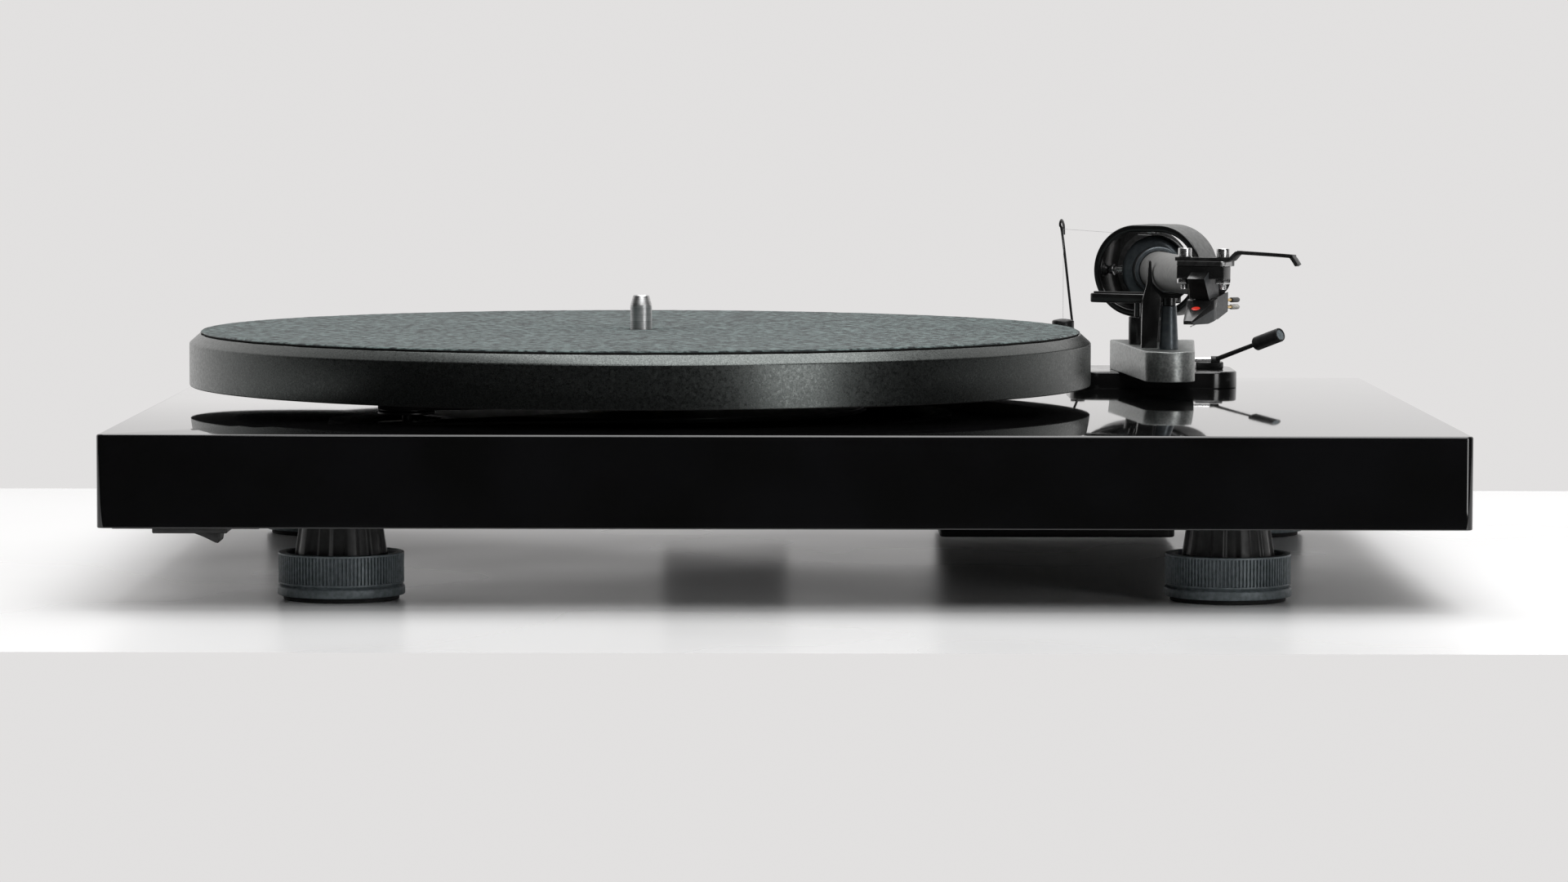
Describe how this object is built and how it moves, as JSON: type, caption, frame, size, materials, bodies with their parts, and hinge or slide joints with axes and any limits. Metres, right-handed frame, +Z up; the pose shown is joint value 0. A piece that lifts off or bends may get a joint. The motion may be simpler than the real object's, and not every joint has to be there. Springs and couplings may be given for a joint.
{
  "type": "turntable",
  "caption": "Belt-driven turntable: lacquered plinth on screw feet, metal platter with felt mat, and a gimballed tonearm at rest on its clip.",
  "frame": {"origin": "on the floor under the middle of the plinth", "axes": "+X to the tonearm side, +Y to the back, +Z up"},
  "size_m": [0.417, 0.32, 0.1126],
  "materials": {
    "lacquered_board": "polished black lacquer on board",
    "piano_black": "polished black lacquer",
    "dark_metal": "dark satin anodised",
    "felt": "dark grey-green felt",
    "rubber": "matt",
    "black_plastic": "matt",
    "slate_metal": "satin slate grey",
    "silver_plastic": "satin silver grey",
    "tube_metal": "matt light grey",
    "chrome": "polished",
    "aluminium": "satin turned",
    "brass": "gold plated",
    "cartridge_grey": "satin grey",
    "nylon": "clear nylon"
  },
  "bodies": {
    "base": {"plinth": "lacquered_board", "foot_cone_front_left": "black_plastic", "foot_cone_front_right": "black_plastic", "foot_cone_rear_left": "black_plastic", "foot_cone_rear_right": "black_plastic", "bearing_housing": "brass", "bearing_ball": "chrome", "motor_body": "aluminium", "motor_cover": "black_plastic", "drive_belt": "rubber", "switch_bezel": "black_plastic", "junction_box": "black_plastic", "phono_sockets": "brass", "ground_terminal": "brass", "power_socket": "black_plastic", "arm_base_plate": "piano_black", "arm_base_block": "silver_plastic", "arm_column": "black_plastic", "arm_rest_post": "slate_metal", "arm_rest_clip": "black_plastic", "cue_guide": "black_plastic", "cue_housing": "black_plastic", "anti_skate_wire": "aluminium", "anti_skate_thread": "nylon"},
    "platter_unit": {"spindle": "aluminium", "sub_platter": "black_plastic", "platter": "dark_metal", "felt_mat": "felt"},
    "motor_rotor": {"motor_pulley": "brass"},
    "arm_carriage": {"gimbal_ring": "piano_black", "pivot_cup_left": "chrome", "pivot_cup_right": "chrome", "anti_skate_stub": "chrome"},
    "tonearm": {"gimbal_inner_ring": "slate_metal", "arm_tube": "tube_metal", "headshell": "dark_metal", "finger_lift": "dark_metal", "headshell_screw_left": "chrome", "headshell_screw_right": "chrome", "cartridge_body": "black_plastic", "stylus_unit": "cartridge_grey", "cantilever": "aluminium", "cartridge_pins": "brass", "lead_bundle": "rubber", "counterweight_stub": "aluminium"},
    "balance_weight": {"counterweight": "dark_metal"},
    "skate_weight": {"anti_skate_weight": "dark_metal"},
    "cue_control": {"cue_lever": "chrome", "cue_knob": "black_plastic"},
    "cue_lift": {"cue_lift_bar": "black_plastic", "cue_bar_pad": "rubber"},
    "speed_switch": {"speed_rocker": "black_plastic"},
    "foot_pad_front_left": {"foot_pad_front_left": "rubber"},
    "foot_ring_front_left": {"foot_ring_front_left": "slate_metal"},
    "foot_pad_front_right": {"foot_pad_front_right": "rubber"},
    "foot_ring_front_right": {"foot_ring_front_right": "slate_metal"},
    "foot_pad_rear_left": {"foot_pad_rear_left": "rubber"},
    "foot_ring_rear_left": {"foot_ring_rear_left": "slate_metal"},
    "foot_pad_rear_right": {"foot_pad_rear_right": "rubber"},
    "foot_ring_rear_right": {"foot_ring_rear_right": "slate_metal"}
  },
  "joints": [
    {"name": "platter_spin", "type": "hinge", "parent": "base", "child": "platter_unit", "pos_m": [-0.0481, 0.01, 0.068], "axis": [0, 0, 1], "continuous": true},
    {"name": "motor_spin", "type": "hinge", "parent": "base", "child": "motor_rotor", "pos_m": [-0.12, -0.08, 0.055], "axis": [0, 0, 1], "continuous": true},
    {"name": "arm_yaw", "type": "hinge", "parent": "base", "child": "arm_carriage", "pos_m": [0.13, 0.1, 0.0949], "axis": [0, 0, -1], "range_deg": [0, 48], "deforming": ["anti_skate_thread", "arm_rest_clip"]},
    {"name": "arm_pitch", "type": "hinge", "parent": "arm_carriage", "child": "tonearm", "pos_m": [0.13, 0.1, 0.0949], "axis": [-0.8956, 0.4448, 0], "range_deg": [-1.6, 12], "deforming": ["arm_rest_clip", "cue_bar_pad"]},
    {"name": "counterweight_slide", "type": "slide", "parent": "tonearm", "child": "balance_weight", "axis": [-0.0179, 0.9996, -0.0212], "range_m": [-0.004, 0.004]},
    {"name": "anti_skate_drop", "type": "slide", "parent": "base", "child": "skate_weight", "axis": [0, 0, 1], "range_m": [-0.001, 0.013], "deforming": ["anti_skate_thread"]},
    {"name": "cue_lever_turn", "type": "hinge", "parent": "base", "child": "cue_control", "pos_m": [0.1512, 0.102, 0.0635], "axis": [1, 0, 0], "range_deg": [0, 32]},
    {"name": "cue_lift_slide", "type": "slide", "parent": "base", "child": "cue_lift", "axis": [0, 0, -1], "range_m": [0, 0.0026]},
    {"name": "speed_switch_rock", "type": "hinge", "parent": "base", "child": "speed_switch", "pos_m": [-0.182, -0.135, 0.024], "axis": [0, -1, 0], "range_deg": [0, 20]},
    {"name": "foot_height_front_left", "type": "slide", "parent": "base", "child": "foot_pad_front_left", "axis": [0, 0, -1], "range_m": [0, 0.00375]},
    {"name": "foot_turn_front_left", "type": "hinge", "parent": "foot_pad_front_left", "child": "foot_ring_front_left", "pos_m": [-0.138, -0.115, 0.01], "axis": [0, 0, -1], "range_deg": [0, 1075]},
    {"name": "foot_height_front_right", "type": "slide", "parent": "base", "child": "foot_pad_front_right", "axis": [0, 0, -1], "range_m": [0, 0.00375]},
    {"name": "foot_turn_front_right", "type": "hinge", "parent": "foot_pad_front_right", "child": "foot_ring_front_right", "pos_m": [0.138, -0.115, 0.01], "axis": [0, 0, -1], "range_deg": [0, 1075]},
    {"name": "foot_height_rear_left", "type": "slide", "parent": "base", "child": "foot_pad_rear_left", "axis": [0, 0, -1], "range_m": [0, 0.00375]},
    {"name": "foot_turn_rear_left", "type": "hinge", "parent": "foot_pad_rear_left", "child": "foot_ring_rear_left", "pos_m": [-0.165, 0.127, 0.01], "axis": [0, 0, -1], "range_deg": [0, 1075]},
    {"name": "foot_height_rear_right", "type": "slide", "parent": "base", "child": "foot_pad_rear_right", "axis": [0, 0, -1], "range_m": [0, 0.00375]},
    {"name": "foot_turn_rear_right", "type": "hinge", "parent": "foot_pad_rear_right", "child": "foot_ring_rear_right", "pos_m": [0.165, 0.127, 0.01], "axis": [0, 0, -1], "range_deg": [0, 1075]}
  ],
  "couplings": [
    {"joint": "motor_spin", "follows": "platter_spin", "ratio": 9},
    {"joint": "anti_skate_drop", "follows": "arm_yaw", "m_per_rad": 0.0149},
    {"joint": "cue_lift_slide", "follows": "cue_lever_turn", "m_per_rad": 0.00447},
    {"joint": "foot_height_front_left", "follows": "foot_turn_front_left", "m_per_rad": 0.00019894},
    {"joint": "foot_height_front_right", "follows": "foot_turn_front_right", "m_per_rad": 0.00019894},
    {"joint": "foot_height_rear_left", "follows": "foot_turn_rear_left", "m_per_rad": 0.00019894},
    {"joint": "foot_height_rear_right", "follows": "foot_turn_rear_right", "m_per_rad": 0.00019894}
  ]
}
